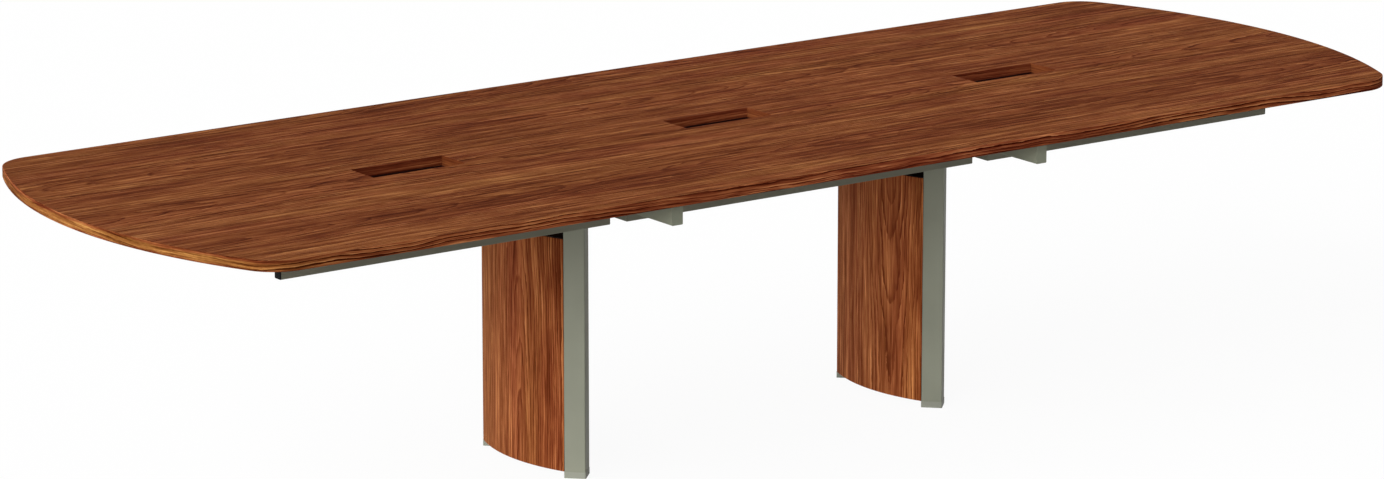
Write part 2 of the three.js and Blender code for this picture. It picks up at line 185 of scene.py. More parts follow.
class TableStage(bpy.types.PropertyGroup):
    """Light, floor and camera."""

    floor: colour_property("Floor", "Colour of the floor as it is seen", 254, 254, 254)
    floor_bounce: colour_property("Floor bounce", "Colour the floor throws back", 203, 203, 203)
    floor_size: length_property("Floor size", "Side of the floor, and how far one sees", 200)
    sky_strength: number_property("Sky strength", "Even light from all round", 0.2, min=0)
    key_strength: number_property("Key strength", "Low soft light from the left", 4.1, min=0)
    key_direction: direction_property("Key direction", "Tilt and turn of the key", 68, -75)
    fill_strength: number_property("Fill strength", "Soft light from the left rear", 1.4, min=0)
    fill_direction: direction_property("Fill direction", "Tilt and turn of the fill", 55, -120)
    spread: angle_property("Spread", "How wide the soft lights are in the sky", 55)
    shadow_share: share_property("Shadow share", "How much of its shadow the floor shows", 0.05)
    camera_place: bpy.props.FloatVectorProperty(
        name="Camera place", description="Where the camera stands", size=3, subtype="XYZ",
        unit="LENGTH", default=(-7.7087, -10.5903, 3.6752),
    )
    camera_tilt: angle_property("Camera tilt", "Turn up from straight down", 76.1973)
    camera_turn: angle_property("Camera turn", "Turn about the vertical", -35.7895)
    lens: number_property("Lens", "Focal length in millimetres", 146.835, min=1)


def sizes():
    return bpy.context.scene.table_sizes


def wood():
    return bpy.context.scene.table_wood


def metal():
    return bpy.context.scene.table_metal


# Modelling by hand

def start(name, primitive, **settings):
    """Adds a primitive with nothing else selected, names it and opens it in edit mode."""
    bpy.ops.object.select_all(action="DESELECT")
    primitive(**settings)
    piece = bpy.context.active_object
    piece.name = name
    piece.data.name = name
    bpy.ops.object.mode_set(mode="EDIT")
    return piece


def start_point(name, place):
    """Starts a piece as one point, to be drawn out."""
    piece = start(name, bpy.ops.mesh.primitive_plane_add, size=1, location=place)
    select_mode("VERT")
    bpy.ops.mesh.merge(type="CENTER")
    return piece


def pull(x=0.0, y=0.0, z=0.0):
    """Extrudes what is selected by x, y, z."""
    bpy.ops.mesh.extrude_region_move(TRANSFORM_OT_translate={"value": (x, y, z)})


def select_all():
    bpy.ops.mesh.select_all(action="SELECT")


def pull_all(x=0.0, y=0.0, z=0.0):
    select_all()
    pull(x, y, z)


def spin(steps, angle, x, y):
    """Draws what is selected round an upright axis at x, y, to the left as seen from above."""
    bpy.ops.mesh.spin(steps=steps, angle=-angle, center=(x, y, 0), axis=(0, 0, 1))


def select(piece, kind, wanted):
    """In edit mode, selects the vertices, edges or faces for which wanted says yes."""
    mesh = bmesh.from_edit_mesh(piece.data)
    for part in (mesh.faces, mesh.edges, mesh.verts):
        for element in part:
            element.select_set(False)
    for element in getattr(mesh, kind):
        if wanted(element):
            element.select_set(True)
    mesh.select_flush_mode()
    bmesh.update_edit_mesh(piece.data)


def select_mode(kind):
    bpy.ops.mesh.select_mode(type=kind)


def turn_outwards():
    """Selects the whole piece and turns its faces outwards."""
    select_all()
    bpy.ops.mesh.normals_make_consistent(inside=False)


def sharp(edge):
    """Whether an edge between two faces is an edge of the form and not a curve's facet."""
    return len(edge.link_faces) == 2 and edge.calc_face_angle(0) > FACET_ANGLE


def carve(piece, cutter):
    """Takes the cutter's form out of a piece, and then the cutter out of the file."""
    bpy.ops.object.mode_set(mode="OBJECT")
    hole = piece.modifiers.new("hole", "BOOLEAN")
    hole.operation = "DIFFERENCE"
    hole.solver = "EXACT"
    hole.object = cutter
    bpy.context.view_layer.objects.active = piece
    bpy.ops.object.modifier_apply(modifier=hole.name)
    bpy.data.objects.remove(cutter)


def finish_piece(piece, material):
    """Puts a piece's place into its mesh, smooths its curves, and hangs it on the frame."""
    if bpy.context.mode != "OBJECT":
        bpy.ops.object.mode_set(mode="OBJECT")
    bpy.ops.object.select_all(action="DESELECT")
    piece.select_set(True)
    bpy.context.view_layer.objects.active = piece
    bpy.ops.object.transform_apply(location=True, rotation=True, scale=True)
    bpy.ops.object.shade_smooth_by_angle(angle=FACET_ANGLE)
    piece.data.materials.clear()
    piece.data.materials.append(material)
    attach(piece, "table")
    return piece


def copy_piece(piece, name, matrix):
    """A copy with a mesh of its own, moved or mirrored by matrix."""
    twin = piece.copy()
    twin.data = piece.data.copy()
    twin.name = name
    twin.data.name = name
    twin.data.transform(matrix)
    if matrix.is_negative:
        twin.data.flip_normals()
    bpy.context.scene.collection.objects.link(twin)
    twin.parent = None
    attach(twin, "table")
    return twin


def paint(material, *starts):
    """Gives the CAD nodes whose names start so, and which stay in view, their finish."""
    for name, node in NODES.items():
        if not name.startswith(starts):
            continue
        if not node.material_slots:
            raise RuntimeError(f"{name} has no material slot")
        for place in node.material_slots:
            place.link = "OBJECT"
            place.material = material


# Materials

class Graph:
    """A shader tree, with short ways to add nodes and link them."""

    def __init__(self, name, blocks=None):
        """Starts an empty tree in a new material, or in a new block among blocks."""
        if blocks is None:
            blocks = bpy.data.materials
        self.owner = blocks.new(name)
        self.owner.use_nodes = True
        self.tree = self.owner.node_tree
        self.tree.nodes.clear()

    def feed(self, socket, value):
        if isinstance(value, bpy.types.NodeSocket):
            self.tree.links.new(value, socket)
        else:
            socket.default_value = value

    def add(self, kind, inputs=None, **settings):
        node = self.tree.nodes.new(kind)
        for name, value in settings.items():
            setattr(node, name, value)
        for name, value in (inputs or {}).items():
            self.feed(node.inputs[name], value)
        return node

    def math(self, operation, first, second=0.0, third=0.0):
        node = self.tree.nodes.new("ShaderNodeMath")
        node.operation = operation
        for socket, value in zip(node.inputs, (first, second, third)):
            self.feed(socket, value)
        return node.outputs["Value"]

    def plus(self, *values):
        total = values[0]
        for value in values[1:]:
            total = self.math("ADD", total, value)
        return total

    def times(self, first, second):
        return self.math("MULTIPLY", first, second)

    def noise(self, x, y, seed, detail=2.0, roughness=0.5):
        """Smooth noise from -0.5 to 0.5 over x and y, which are already scaled."""
        place = self.add("ShaderNodeCombineXYZ", {"X": x, "Y": y, "Z": seed})
        node = self.add(
            "ShaderNodeTexNoise",
            {"Vector": place.outputs["Vector"], "Scale": 1.0, "Detail": detail,
             "Roughness": roughness},
        )
        return self.math("SUBTRACT", node.outputs["Fac"], 0.5)

    def grain(self, axes, cells, seed, detail=2.0, roughness=0.5):
        """Noise over two axes, with so many cells to a metre of each."""
        x, y = (self.times(axis, count) for axis, count in zip(axes, cells))
        return self.noise(x, y, seed, detail, roughness)

    def wander(self, along, cells, seed, height, detail=2.0):
        """A rise and fall by height along one axis, with so many cells to a metre."""
        return self.times(self.noise(self.times(along, cells), 0.0, seed, detail), height)

    def cloud(self, cells, detail):
        """Noise from 0 to 1 all through a piece, with so many cells to a metre."""
        place = self.add("ShaderNodeTexCoord").outputs["Object"]
        return self.add(
            "ShaderNodeTexNoise", {"Vector": place, "Scale": cells, "Detail": detail},
        ).outputs["Fac"]

    def spread(self, value, low, high, to_low=0.0, to_high=1.0):
        node = self.add(
            "ShaderNodeMapRange",
            {"Value": value, "From Min": low, "From Max": high, "To Min": to_low,
             "To Max": to_high},
        )
        return node.outputs["Result"]

    def between(self, share, first, second):
        """From first where share is 0 to second where it is 1."""
        return self.spread(share, 0.0, 1.0, first, second)

    def smooth(self, value, low, high):
        """From 0 at low to 1 at high, rounded at both ends."""
        node = self.add(
            "ShaderNodeMapRange", {"Value": value, "From Min": low, "From Max": high},
            interpolation_type="SMOOTHSTEP",
        )
        return node.outputs["Result"]

    def ramp(self, value, stops, interpolation="LINEAR"):
        """A colour ramp whose stops are (place, colour), colour with three values."""
        node = self.add("ShaderNodeValToRGB", {"Fac": value})
        ramp = node.color_ramp
        ramp.interpolation = interpolation
        while len(ramp.elements) < len(stops):
            ramp.elements.new(1.0)
        for element, (place, colour) in zip(ramp.elements, stops):
            element.position = place
            element.color = (*colour, 1.0)
        return node.outputs["Color"]

    def mix(self, share, first, second):
        node = self.add("ShaderNodeMix", data_type="RGBA")
        self.feed(node.inputs[0], share)
        for socket, value in ((node.inputs[6], first), (node.inputs[7], second)):
            if not isinstance(value, bpy.types.NodeSocket) and len(value) == 3:
                value = (*value, 1.0)
            self.feed(socket, value)
        return node.outputs[2]

    def bump(self, height, distance, strength):
        node = self.add(
            "ShaderNodeBump", {"Height": height, "Distance": distance, "Strength": strength},
        )
        return node.outputs["Normal"]

    def seen(self):
        """1 for what the camera sees, straight or by gloss or through glass, otherwise 0."""
        rays = self.add("ShaderNodeLightPath").outputs
        share = rays["Is Camera Ray"]
        for kind in ("Is Glossy Ray", "Is Transmission Ray"):
            share = self.math("MAXIMUM", share, rays[kind])
        return share

    def end(self, shader, kind="ShaderNodeOutputMaterial"):
        """Ends the tree in a shader, and gives back the material or world it belongs to."""
        self.add(kind, {"Surface": shader})
        return self.owner

    def finish(self, **inputs):
        """Ends the tree in a Principled shader with these inputs."""
        shader = self.add(
            "ShaderNodeBsdfPrincipled",
            {name.replace("_", " "): value for name, value in inputs.items()},
        )
        return self.end(shader.outputs["BSDF"])


def object_axes(graph):
    place = graph.add("ShaderNodeTexCoord").outputs["Object"]
    split = graph.add("ShaderNodeSeparateXYZ", {"Vector": place})
    return split.outputs["X"], split.outputs["Y"], split.outputs["Z"]


def veneer_axes(graph):
    """Length along the grain and across it, in metres, from the piece's own UV map."""
    place = graph.add("ShaderNodeUVMap", uv_map="veneer").outputs["UV"]
    split = graph.add("ShaderNodeSeparateXYZ", {"Vector": place})
    return split.outputs["X"], split.outputs["Y"]


# The stem that the veneer is cut from, in metres: how far its lines ripple, how near to the
# heart a leaf is cut, how far the cut swings and sweeps away from there, how much further
# along the next leaf lies, and how wide the calm strip beside the heart is
RIPPLE_HEIGHT = 0.006
LEAST_DEPTH = 0.025
SWING_DEPTH = 0.05
SWEEP_DEPTH = 0.085
LEAF_SHIFT = 0.043
HEART_WIDTH = 0.07
# Shares of a growth ring between which its dark late wood is full, and how much the late and
# the early wood change the tone
LATE_WOOD = (0.92, 0.94)
LATE_WEIGHT, EARLY_WEIGHT = -0.95, 0.5
# Tone of plain wood, and what varies it: cells per metre along and across the grain, shift of
# the seed, detail, roughness and weight. Broad bands, mottle, streaks, fine lines, fibres
MEAN_TONE = 0.46
TONE_LAYERS = (
    ((0.45, 9.0), 23, 3, 0.5, 0.45),
    ((2.6, 26.0), 27, 3, 0.6, 0.45),
    ((3.0, 70.0), 29, 3, 0.65, 1.55),
    ((9.0, 330.0), 31, 3, 0.6, 1.5),
    ((30.0, 1500.0), 37, 2, 0.5, 0.4),
)


def growth_rings(graph, along, across, bent, seed, leaf_width, ring_width, taper):
    """Where a point lies in its growth ring, from 0 to 1, and how far from its leaf's heart.

    The rings are cuts through a tapering stem, so that they run straight at the sides of a
    leaf of veneer and close in long arches over its heart.
    """
    half_leaf = leaf_width / 2
    from_heart = graph.math("WRAP", bent, half_leaf, -half_leaf)
    leaf = graph.math("FLOOR", graph.math("DIVIDE", graph.plus(bent, half_leaf), leaf_width))
    swing = graph.grain((along, leaf), (1.3, 7.3), seed + 11, 3, 0.6)
    climb = graph.plus(graph.times(along, taper), graph.times(leaf, LEAF_SHIFT))
    sweep = graph.math("PINGPONG", climb, SWEEP_DEPTH)
    depth = graph.plus(LEAST_DEPTH, sweep, graph.times(swing, SWING_DEPTH))
    radius = graph.math("SQRT", graph.plus(
        graph.times(from_heart, from_heart), graph.times(depth, depth),
    ))
    crowding = graph.grain((along, radius), (0.5, 28.0), seed + 5)
    jag = graph.grain((along, across), (26.0, 160.0), seed + 7)
    rings = graph.plus(
        graph.math("DIVIDE", radius, ring_width), graph.times(crowding, 3.0),
        graph.times(jag, 0.5),
    )
    return graph.math("FRACT", rings), from_heart


def wood_tone(graph, along, across, seed, leaf_width, ring_width=0.009, taper=0.07,
              wave_height=0.03, contrast=1.0, line_width=0.25, at_heart=0.3):
    """How light the wood is at a point, from 0 to 1, how open its pores are, and its hue.

    Contrast is the weight of the growth lines, line_width their share of a ring, and at_heart
    what is left of them over the heart of a leaf.
    """
    wave = graph.grain((along, across), (0.9, 2.2), seed)
    ripple = graph.grain((along, across), (6.0, 14.0), seed + 3, 1)
    bent = graph.plus(
        across, graph.times(wave, wave_height), graph.times(ripple, RIPPLE_HEIGHT),
    )
    phase, from_heart = growth_rings(
        graph, along, across, bent, seed, leaf_width, ring_width, taper,
    )
    late_wood = graph.times(
        graph.smooth(phase, 1 - line_width, LATE_WOOD[0]),
        graph.spread(phase, 1.0, LATE_WOOD[1]),
    )
    early_wood = graph.math("POWER", graph.math("SUBTRACT", 1.0, phase), 4.0)
    figure = graph.plus(
        graph.times(late_wood, LATE_WEIGHT), graph.times(early_wood, EARLY_WEIGHT),
    )
    patches = graph.spread(graph.grain((along, bent), (1.6, 30.0), seed + 17, 3), -0.22, 0.2)
    beside_heart = graph.spread(
        graph.math("ABSOLUTE", from_heart), 0.0, HEART_WIDTH, at_heart, 1.0,
    )
    strength = graph.times(patches, beside_heart)
    layers = [
        graph.grain((along, bent), cells, seed + shift, detail, roughness)
        for cells, shift, detail, roughness, _ in TONE_LAYERS
    ]
    weighed = [graph.times(layer, row[-1]) for layer, row in zip(layers, TONE_LAYERS)]
    tone = graph.plus(MEAN_TONE, *weighed, graph.times(graph.times(figure, strength), contrast))
    pores = graph.spread(layers[-1], 0.06, 0.2)
    hue = graph.grain((along, bent), (0.8, 14.0), seed + 41)
    return tone, pores, hue


def wood_material(graph, tone, pores, hue, warmth=0.0, gain=1.0, saturation=1.0):
    """Colour, gloss and relief of lacquered veneer whose lightness is tone.

    Warmth turns it towards yellow, and gain makes it lighter at the same hue.
    """
    settings = wood()
    colour = graph.ramp(tone, (
        (0.0, settings.deep), (0.28, settings.dark), (0.52, settings.middle),
        (0.74, settings.light), (1.0, settings.pale),
    ))
    pore_depth, hue_swing = 0.35, 0.02
    darker = graph.mix(graph.times(pores, pore_depth), colour, settings.deep)
    shifted = graph.add("ShaderNodeHueSaturation", {
        "Hue": graph.plus(0.5, graph.times(hue, hue_swing), warmth), "Saturation": saturation,
        "Value": gain, "Color": darker,
    }).outputs["Color"]
    roughness = graph.between(tone, settings.roughness + 0.06, settings.roughness - 0.04)
    height = graph.plus(graph.times(pores, -1.0), graph.times(tone, 0.6))
    return graph.finish(
        Base_Color=shifted, Roughness=roughness, Specular_IOR_Level=0.002,
        Normal=graph.bump(height, distance=0.0004, strength=0.35),
    )


# Broad bands of the top: share of its width from the front, and tone
TOP_BANDS = (
    (0.0, 0.62), (0.06, 0.60), (0.12, 0.42), (0.24, 0.36), (0.29, 0.72), (0.34, 0.56),
    (0.46, 0.40), (0.56, 0.66), (0.63, 0.42), (0.70, 0.60), (0.80, 0.48), (1.0, 0.42),
)


def top_veneer():
    """Veneer of the board: its grain runs along the table, in leaves laid side by side.

    Broad bands run along it, and it grows lighter towards the left end.
    """
    graph = Graph("veneer_of_top")
    x, y, _ = object_axes(graph)
    # How far the middle line of the top lies from the heart of its leaf
    off_heart = 0.05
    tone, pores, hue = wood_tone(
        graph, x, graph.plus(y, off_heart), seed=4.0, leaf_width=wood().leaf_width,
    )
    bands = graph.ramp(
        graph.spread(y, TOP_LOW.y, TOP_HIGH.y),
        [(place, (level,) * 3) for place, level in TOP_BANDS], "B_SPLINE",
    )
    band_weight = 0.38
    banded = graph.times(graph.math("SUBTRACT", bands, 0.5), band_weight)
    # Reach of the light end along the table, and how much lighter it is
    end_reach, end_light = (TOP_LOW.x + 0.25, TOP_LOW.x + 0.95), 0.06
    light_end = graph.spread(x, *end_reach, end_light, 0.0)
    return wood_material(graph, graph.plus(tone, banded, light_end), pores, hue)


# Golden stripe of the edge band, in metres: how far from the middle of the left end it begins
# and is full, and the heights over which its lower and its upper border fade
GOLD_REACH = (0.85, 0.45)
GOLD_FOOT = (0.0, 0.006)
GOLD_HEAD = (0.022, 0.017)


def edge_veneer(outline):
    """Edge band: its grain runs along the edge and drifts up and down it.

    Round the left end a golden stripe lies between two brown ones.
    """
    graph = Graph("veneer_of_edge")
    along, across = veneer_axes(graph)
    # How far the foot of the band lies from the heart of its leaf
    off_heart = 0.14
    height = graph.plus(
        across, graph.wander(along, cells=2.1, seed=8.0, height=0.035),
        graph.wander(along, cells=0.4, seed=18.0, height=0.06, detail=1), off_heart,
    )
    from_end = graph.math("ABSOLUTE", graph.math("SUBTRACT", along, outline.quarter()))
    at_end = graph.smooth(from_end, *GOLD_REACH)
    ragged = graph.grain((along, across), (14.0, 60.0), 61.0, 3, 0.6)
    ragged_height = 0.016
    border = graph.plus(
        across, graph.times(ragged, ragged_height),
        graph.wander(along, cells=6.0, seed=67.0, height=0.014),
    )
    gold = graph.times(
        at_end, graph.times(graph.smooth(border, *GOLD_HEAD), graph.smooth(border, *GOLD_FOOT)),
    )
    tone, pores, hue = wood_tone(
        graph, along, height, seed=9.0, leaf_width=0.6, ring_width=0.0085, taper=0.02,
        wave_height=0.008, contrast=graph.between(at_end, 1.5, 0.4), line_width=0.4,
    )
    speckle = graph.grain((along, across), (70.0, 240.0), 71.0, 3, 0.7)
    lighter = graph.plus(
        tone, 0.03, graph.times(gold, 0.05), graph.times(graph.times(at_end, speckle), 0.5),
    )
    warmth = graph.plus(graph.between(gold, -0.007, 0.01), graph.times(at_end, 0.003))
    gain = graph.plus(1.12, graph.times(at_end, -0.22), graph.times(gold, 0.05))
    return wood_material(graph, lighter, pores, hue, warmth, gain)


def cutout_veneer():
    """Band on the walls of the cut-outs. Along each wall x or y stands still.

    The short walls face the light, so they are painted darker, painted shade that keeps them as
    dark as the rest. On the long walls a light stripe runs at half their height between darker
    borders; the upper border is painted shade under the top's edge.
    """
    graph = Graph("veneer_of_cutouts")
    x, y, z = object_axes(graph)
    normal = graph.add("ShaderNodeTexCoord").outputs["Normal"]
    facing = graph.add("ShaderNodeSeparateXYZ", {"Vector": normal}).outputs["X"]
    short_wall = graph.math("GREATER_THAN", graph.math("ABSOLUTE", facing), 0.5)
    tone, pores, hue = wood_tone(
        graph, graph.plus(x, y), graph.plus(z, 0.1), seed=12.0, leaf_width=wood().leaf_width,
        taper=0.01, wave_height=0.01, contrast=graph.between(short_wall, 1.0, 0.2),
    )
    middle = (TOP_LOW.z + TOP_HIGH.z) / 2
    from_middle = graph.math("ABSOLUTE", graph.math("SUBTRACT", z, middle))
    # How far from half height the stripe fades, and how light it and its borders are; the darker
    # upper border is painted shade under the top's edge
    stripe_fade, stripe_light, shaded_border_tone = (0.002, 0.007), 0.08, -0.1
    stripe = graph.spread(from_middle, *stripe_fade, stripe_light, shaded_border_tone)
    striped = graph.plus(
        graph.between(tone, 0.17, 0.77), graph.times(graph.between(short_wall, 1.0, 0.0), stripe),
    )
    # The short walls' lower gain is painted shade, as the key light falls full on them
    return wood_material(
        graph, striped, pores, hue, warmth=graph.between(short_wall, -0.008, -0.002),
        gain=graph.between(short_wall, 1.1, 0.66),
    )


# Where each panel's leaf starts, along the grain and across it, in metres
PANEL_LEAVES = {
    ("left", "left"): (0.0, -0.035), ("left", "right"): (1.7, 0.06),
    ("right", "left"): (3.1, -0.08), ("right", "right"): (4.9, -0.02),
}
# Beyond this stretch along the grain the leaves are the right pedestal's
RIGHT_LEAVES = (2.4, 2.6)


def panel_veneer():
    """Veneer of the curved panels, its grain upright.

    The right pedestal's leaves are painted lighter, painted light that makes up for the shadow the
    left pedestal casts on them. Each grows darker and redder from left to right: partly the wood,
    partly painted light and reflection at its left and painted shade beside the post at its right.
    """
    graph = Graph("veneer_of_panels")
    along, across = veneer_axes(graph)
    tone, pores, hue = wood_tone(
        graph, along, across, seed=2.0, leaf_width=0.6, ring_width=0.0068, taper=0.04,
        contrast=0.9, line_width=0.35, at_heart=0.45,
    )
    # Painted light: the right pedestal's leaves are made lighter against the left pedestal's
    # shadow, and each leaf is lighter at its left and darker at its right, partly painted shade
    # beside the post
    gain = graph.times(
        graph.spread(along, *RIGHT_LEAVES, 1.33, 1.76),
        graph.spread(across, -0.25, 0.3, 1.22, 0.83),
    )
    warmth = graph.times(
        graph.spread(along, *RIGHT_LEAVES, 1.0, 0.3),
        graph.spread(across, -0.3, 0.15, 0.008, -0.002),
    )
    # Paler at the left of each leaf: painted reflection where the panel turns away from the camera
    saturation = graph.spread(across, -0.25, 0.1, 0.95, 1.0)
    calm = graph.between(tone, 0.13, 0.93)
    return wood_material(graph, calm, pores, hue, warmth, gain, saturation)


def painted_shade_backing():
    """Painted shade on the backs and edges of the curved panels: a dark sheet inside the
    pedestals, with a faint upright grain.
    """
    graph = Graph("backing_of_panels")
    grain = graph.grain(veneer_axes(graph), (14.0, 700.0), 51.0, 3)
    light = graph.spread(grain, -0.2, 0.2)
    return graph.finish(
        Base_Color=graph.mix(light, metal().trim, wood().backing),
        Roughness=graph.between(light, 0.7, 0.6), Specular_IOR_Level=0.02,
        Normal=graph.bump(grain, distance=0.0002, strength=0.3),
    )


def dimmed(colour, share):
    return tuple(value * share for value in colour)


def satin_paint(name, colour):
    """Powder paint on steel: a faint orange-peel relief and small changes of gloss."""
    graph = Graph(name)
    peel = graph.cloud(cells=900.0, detail=2.0)
    cloud = graph.cloud(cells=6.0, detail=3.0)
    roughness = metal().roughness
    return graph.finish(
        Base_Color=graph.mix(graph.spread(cloud, 0.35, 0.65), dimmed(colour, 0.9), colour),
        Roughness=graph.spread(cloud, 0.3, 0.7, roughness - 0.04, roughness + 0.06),
        Specular_IOR_Level=0.12, Normal=graph.bump(peel, distance=0.0003, strength=0.25),
    )


def zinc_plate():
    """Bright zinc on the bolts and screws, slightly clouded."""
    graph = Graph("bright_zinc")
    cloud = graph.cloud(cells=400.0, detail=4.0)
    colour = metal().zinc
    return graph.finish(
        Base_Color=graph.mix(cloud, dimmed(colour, 0.7), colour), Metallic=1.0,
        Roughness=graph.spread(cloud, 0.3, 0.7, 0.28, 0.45),
        Normal=graph.bump(cloud, distance=0.0002, strength=0.2),
    )


def matt_plastic(name, colour):
    """Moulded plastic with a fine matt texture."""
    graph = Graph(name)
    grain = graph.cloud(cells=1500.0, detail=3.0)
    return graph.finish(
        Base_Color=graph.mix(grain, dimmed(colour, 0.8), colour),
        Roughness=graph.spread(grain, 0.3, 0.7, 0.5, 0.62), Specular_IOR_Level=0.03,
        Normal=graph.bump(grain, distance=0.0002, strength=0.4),
    )


# The outline of the top

class Outline:
    """The top's outline: straight sides, and ends that are one bow between round corners."""

    corner_steps = 16
    bow_steps = 64

    def __init__(self):
        half_length, half_width = TOP_HIGH.x, TOP_HIGH.y
        bow, self.corner_radius = sizes().end_bow, sizes().corner_radius
        self.half_width = half_width
        self.bow_radius = (half_width ** 2 + bow ** 2) / (2 * bow)
        self.bow_centre = half_length - self.bow_radius
        self.corner_y = half_width - self.corner_radius
        reach = self.bow_radius - self.corner_radius
        self.corner_x = self.bow_centre + math.sqrt(reach ** 2 - self.corner_y ** 2)
        self.turn = math.atan2(self.corner_y, self.corner_x - self.bow_centre)
        self.corner_turn = math.pi / 2 - self.turn
        self.perimeter = 4 * self.quarter()

    def quarter(self):
        """Length of the outline from the middle of a side to the middle of an end."""
        return (self.corner_x + self.corner_turn * self.corner_radius
                + self.turn * self.bow_radius)

    def follow(self):
        """Draws what is selected round the outline, from the middle of the rear side."""
        for side in (-1, 1):
            corner_x, corner_y = side * self.corner_x, side * self.corner_y
            pull(x=corner_x)
            spin(self.corner_steps, self.corner_turn, corner_x, -corner_y)
            spin(self.bow_steps, 2 * self.turn, side * self.bow_centre, 0)
            spin(self.corner_steps, self.corner_turn, corner_x, corner_y)
            pull(x=-corner_x)

    def travel(self, x, y):
        """How far along the outline the point nearest x, y lies, from the middle rear."""
        across, along = abs(x), abs(y)
        quarter = self.quarter()
        if across <= self.corner_x:
            from_side = across
        else:
            angle = math.atan2(along - self.corner_y, across - self.corner_x)
            if angle >= self.turn:
                from_side = self.corner_x + (math.pi / 2 - angle) * self.corner_radius
            else:
                angle = math.atan2(along, across - self.bow_centre)
                from_side = quarter - angle * self.bow_radius
        if x < 0:
            return from_side if y > 0 else 2 * quarter - from_side
        return 2 * quarter + from_side if y < 0 else 4 * quarter - from_side


def lay_veneer(piece, place):
    """Gives a piece its veneer map: place says where each point lies on the leaf."""
    mesh = piece.data
    layer = mesh.uv_layers.new(name="veneer")
    mesh.uv_layers.active = layer
    for face in mesh.polygons:
        for loop in face.loop_indices:
            point = mesh.vertices[mesh.loops[loop].vertex_index].co
            layer.data[loop].uv = place(point, face.center)


# Pieces

def make_board(outline):
    """The veneered board inside the edge band, with its three cut-outs."""
    place = (0, outline.half_width - BAND_THICKNESS, BOARD_HIGH.z)
    board = start_point("board", place)
    outline.follow()
    select_all()
    bpy.ops.mesh.remove_doubles(threshold=MERGE_DISTANCE)
    bpy.ops.mesh.edge_face_add()
    pull_all(z=BOARD_LOW.z - BOARD_HIGH.z)
    turn_outwards()
    bpy.ops.object.mode_set(mode="OBJECT")
    for band in SECTIONS:
        cut_hole(board, *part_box(f"cutout_band_{band}"))
    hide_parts("table_top")
    finish_piece(board, top_veneer())


def cut_hole(piece, low, high):
    """Cuts a hole through a piece, as wide and long as the box from low to high."""
    size = high - low
    cutter = start(
        "cutter", bpy.ops.mesh.primitive_cube_add, size=1, location=(low + high) / 2,
    )
    # Higher than the box, to pass right through
    bpy.ops.transform.resize(value=(size.x, size.y, 3 * size.z))
    carve(piece, cutter)


def make_shade_trims():
    """Black trims under the edges of the cut-outs: a dark piece that paints the shade under those
    edges.

    Each has a flange under the board and a thin lip that reaches up into the cut-out.
    """
    low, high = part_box("cutout_band_middle")
    width, height = sizes().trim_width, sizes().trim_height
    lip, rise = sizes().trim_lip, sizes().trim_rise
    half_x = (high.x - low.x) / 2 - BAND_THICKNESS
    half_y = (high.y - low.y) / 2 - BAND_THICKNESS
    corner, corner_steps = 2 * lip, 6
    trim = start_point("edge_trim", (0, half_y, TOP_LOW.z + rise))
    pull(z=-rise)
    pull(z=-height)
    pull_all(y=-lip)
    select_mode("EDGE")
    select(trim, "edges", lambda edge: all(
        abs(v.co.y) < PLANE_TOLERANCE and v.co.z < -rise / 2 for v in edge.verts
    ))
    pull(y=width)
    select_all()
    for side in (-1, 1):
        corner_x, corner_y = side * (half_x - corner), side * (half_y - corner)
        pull(x=corner_x)
        spin(corner_steps, math.pi / 2, corner_x, -corner_y)
        pull(y=2 * corner_y)
        spin(corner_steps, math.pi / 2, corner_x, corner_y)
        pull(x=-corner_x)
    close_ring(trim)
    select_mode("EDGE")
    select(trim, "edges", sharp)
    bpy.ops.mesh.bevel(offset=lip / 3, segments=2, affect="EDGES")
    # The trims' black is painted shade under the cut-outs' edges
    finish_piece(trim, matt_plastic("soft_trim", metal().trim))
    for place in SECTIONS:
        low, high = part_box(f"cutout_band_{place}")
        copy_piece(trim, f"edge_trim_{place}", Matrix.Translation(((low.x + high.x) / 2, 0, 0)))
    bpy.data.objects.remove(trim)


def close_ring(ring):
    """Joins the start and the end of a section that was drawn right round, at x = 0."""
    select_mode("FACE")
    select(ring, "faces", lambda face: all(abs(v.co.x) < PLANE_TOLERANCE for v in face.verts))
    bpy.ops.mesh.delete(type="ONLY_FACE")
    select_all()
    bpy.ops.mesh.remove_doubles(threshold=MERGE_DISTANCE)
    turn_outwards()


def make_edge_band(outline):
    """The band round the board: its section is drawn once round the outline."""
    place = (0, outline.half_width - BAND_THICKNESS, TOP_LOW.z)
    band = start_point("edge_band_veneer", place)
    pull(z=TOP_HIGH.z - TOP_LOW.z)
    pull_all(y=BAND_THICKNESS)
    bpy.ops.mesh.bevel(offset=sizes().band_rounding, segments=4, affect="VERTICES")
    select_all()
    outline.follow()
    close_ring(band)
    finish_piece(band, edge_veneer(outline))

    def place_on_leaf(point, centre):
        along = outline.travel(point.x, point.y)
        middle = outline.travel(centre.x, centre.y)
        turns = round((middle - along) / outline.perimeter)
        return along + turns * outline.perimeter, point.z - TOP_LOW.z

    lay_veneer(band, place_on_leaf)
    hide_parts("edge_band")


class PanelArc:
    """The arc of a curved panel round its pedestal, seen from above."""

    steps = 48

    def __init__(self):
        low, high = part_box("panel_left_right")
        post_low, post_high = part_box("post_left_rear")
        self.low, self.high = low.z, high.z
        self.pedestal = (post_low.x + post_high.x) / 2
        self.post_y = (post_low.y + post_high.y) / 2
        self.half_diagonal = sizes().post_side / math.sqrt(2)
        self.reach = high.x - self.pedestal
        rise = self.reach - self.half_diagonal
        self.radius = (self.post_y ** 2 + rise ** 2) / (2 * rise)
        self.centre = self.reach - self.radius
        self.half_turn = math.asin(self.post_y / self.radius)


